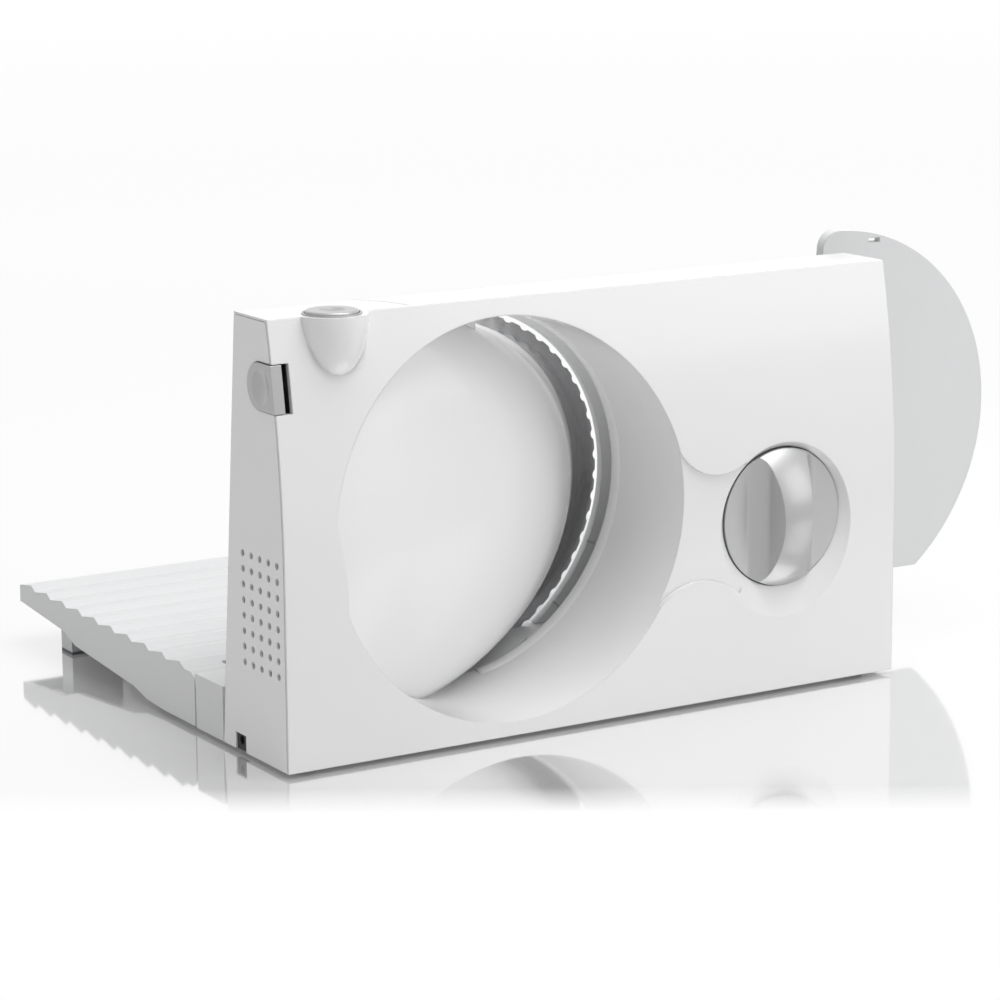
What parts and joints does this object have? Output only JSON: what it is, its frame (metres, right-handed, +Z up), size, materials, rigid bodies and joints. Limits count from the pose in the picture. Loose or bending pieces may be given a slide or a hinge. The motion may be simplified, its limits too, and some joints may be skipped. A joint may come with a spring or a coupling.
{
  "type": "food slicer",
  "caption": "White folding electric food slicer: serrated round blade, front slice dish, thickness knob, sliding stop plate and ribbed fold-up food table.",
  "frame": {"origin": "bottom centre of the whole slicer with its table down and its stop plate closed", "axes": "+X along the housing from the button end to the stop plate's free end, +Y from the front to the food table's outer edge, +Z up"},
  "size_m": [0.4291, 0.287, 0.2002],
  "materials": {
    "white_plastic": "glossy",
    "grey_plastic": "satin",
    "inner_plastic": "matte",
    "silver_plastic": "glossy metallic",
    "blade_steel": "ground and polished",
    "steel": "bright",
    "brass": "turned",
    "gear_plastic": "matte",
    "black_plastic": "matte",
    "dark_rubber": "matte",
    "grey_rubber": "matte",
    "copper": "wound wire",
    "film_plastic": "matte"
  },
  "bodies": {
    "housing": {"front_cover": "white_plastic", "rear_housing": "white_plastic", "base_tray": "grey_plastic", "housing_feet": "grey_rubber", "base_screws": "steel", "cover_screws": "steel", "drum_plate": "inner_plastic", "drum_screws": "steel", "shaft_bush": "brass", "motor_can": "steel", "motor_end_cap": "black_plastic", "motor_clamp": "steel", "clamp_screws": "steel", "guide_bushes": "gear_plastic", "spindle_bush": "brass", "power_button_ring": "silver_plastic", "power_button_spring": "steel", "power_switch": "black_plastic", "switch_bracket": "inner_plastic", "safety_button_guide": "black_plastic", "safety_button_spring": "steel", "safety_switch": "black_plastic", "terminal_block": "gear_plastic", "suppression_capacitor": "film_plastic", "cord_grommet": "dark_rubber", "hinge_pins": "steel"},
    "blade": {"blade_shaft": "steel", "circular_blade": "blade_steel", "blade_lock": "silver_plastic", "drive_gear": "gear_plastic"},
    "rotor": {"rotor_shaft": "steel", "motor_armature": "copper"},
    "fence": {"stop_plate": "grey_plastic", "fence_guide_rods": "steel", "fence_crossbar": "inner_plastic", "spindle_nut": "brass", "fence_screws": "steel"},
    "knob": {"thickness_knob": "silver_plastic", "knob_spindle": "steel"},
    "power_press_button": {"power_button": "silver_plastic"},
    "safety_press_button": {"safety_button": "silver_plastic"},
    "table": {"food_table": "grey_plastic", "table_legs": "grey_plastic", "table_feet": "grey_rubber"}
  },
  "joints": [
    {"name": "blade_spin", "type": "hinge", "parent": "housing", "child": "blade", "pos_m": [-0.09595, -0.05546, 0.09457], "axis": [0, 0.9953, 0.0964], "continuous": true},
    {"name": "rotor_spin", "type": "hinge", "parent": "housing", "child": "rotor", "pos_m": [-0.13695, -0.08134, 0.09206], "axis": [0, -0.0964, 0.9953], "continuous": true},
    {"name": "knob_turn", "type": "hinge", "parent": "housing", "child": "knob", "pos_m": [0.04235, -0.1325, 0.0818], "axis": [0, -1, 0], "range_deg": [0, 270]},
    {"name": "stop_slide", "type": "slide", "parent": "housing", "child": "fence", "axis": [0, -1, 0], "range_m": [0, 0.015]},
    {"name": "power_press", "type": "slide", "parent": "housing", "child": "power_press_button", "axis": [0, 0, -1], "range_m": [0, 0.0024], "stiffness_N_per_m": 400, "springref_m": -0.002, "deforming": ["power_button_spring"]},
    {"name": "safety_press", "type": "slide", "parent": "housing", "child": "safety_press_button", "axis": [1, 0, 0], "range_m": [0, 0.003], "stiffness_N_per_m": 300, "springref_m": -0.002, "deforming": ["safety_button_spring"]},
    {"name": "table_fold", "type": "hinge", "parent": "housing", "child": "table", "pos_m": [-0.05475, -0.04, 0.021], "axis": [1, 0, 0], "range_deg": [0, 84]}
  ],
  "couplings": [
    {"joint": "rotor_spin", "follows": "blade_spin", "ratio": -72},
    {"joint": "knob_turn", "follows": "stop_slide", "rad_per_m": 314.16}
  ]
}
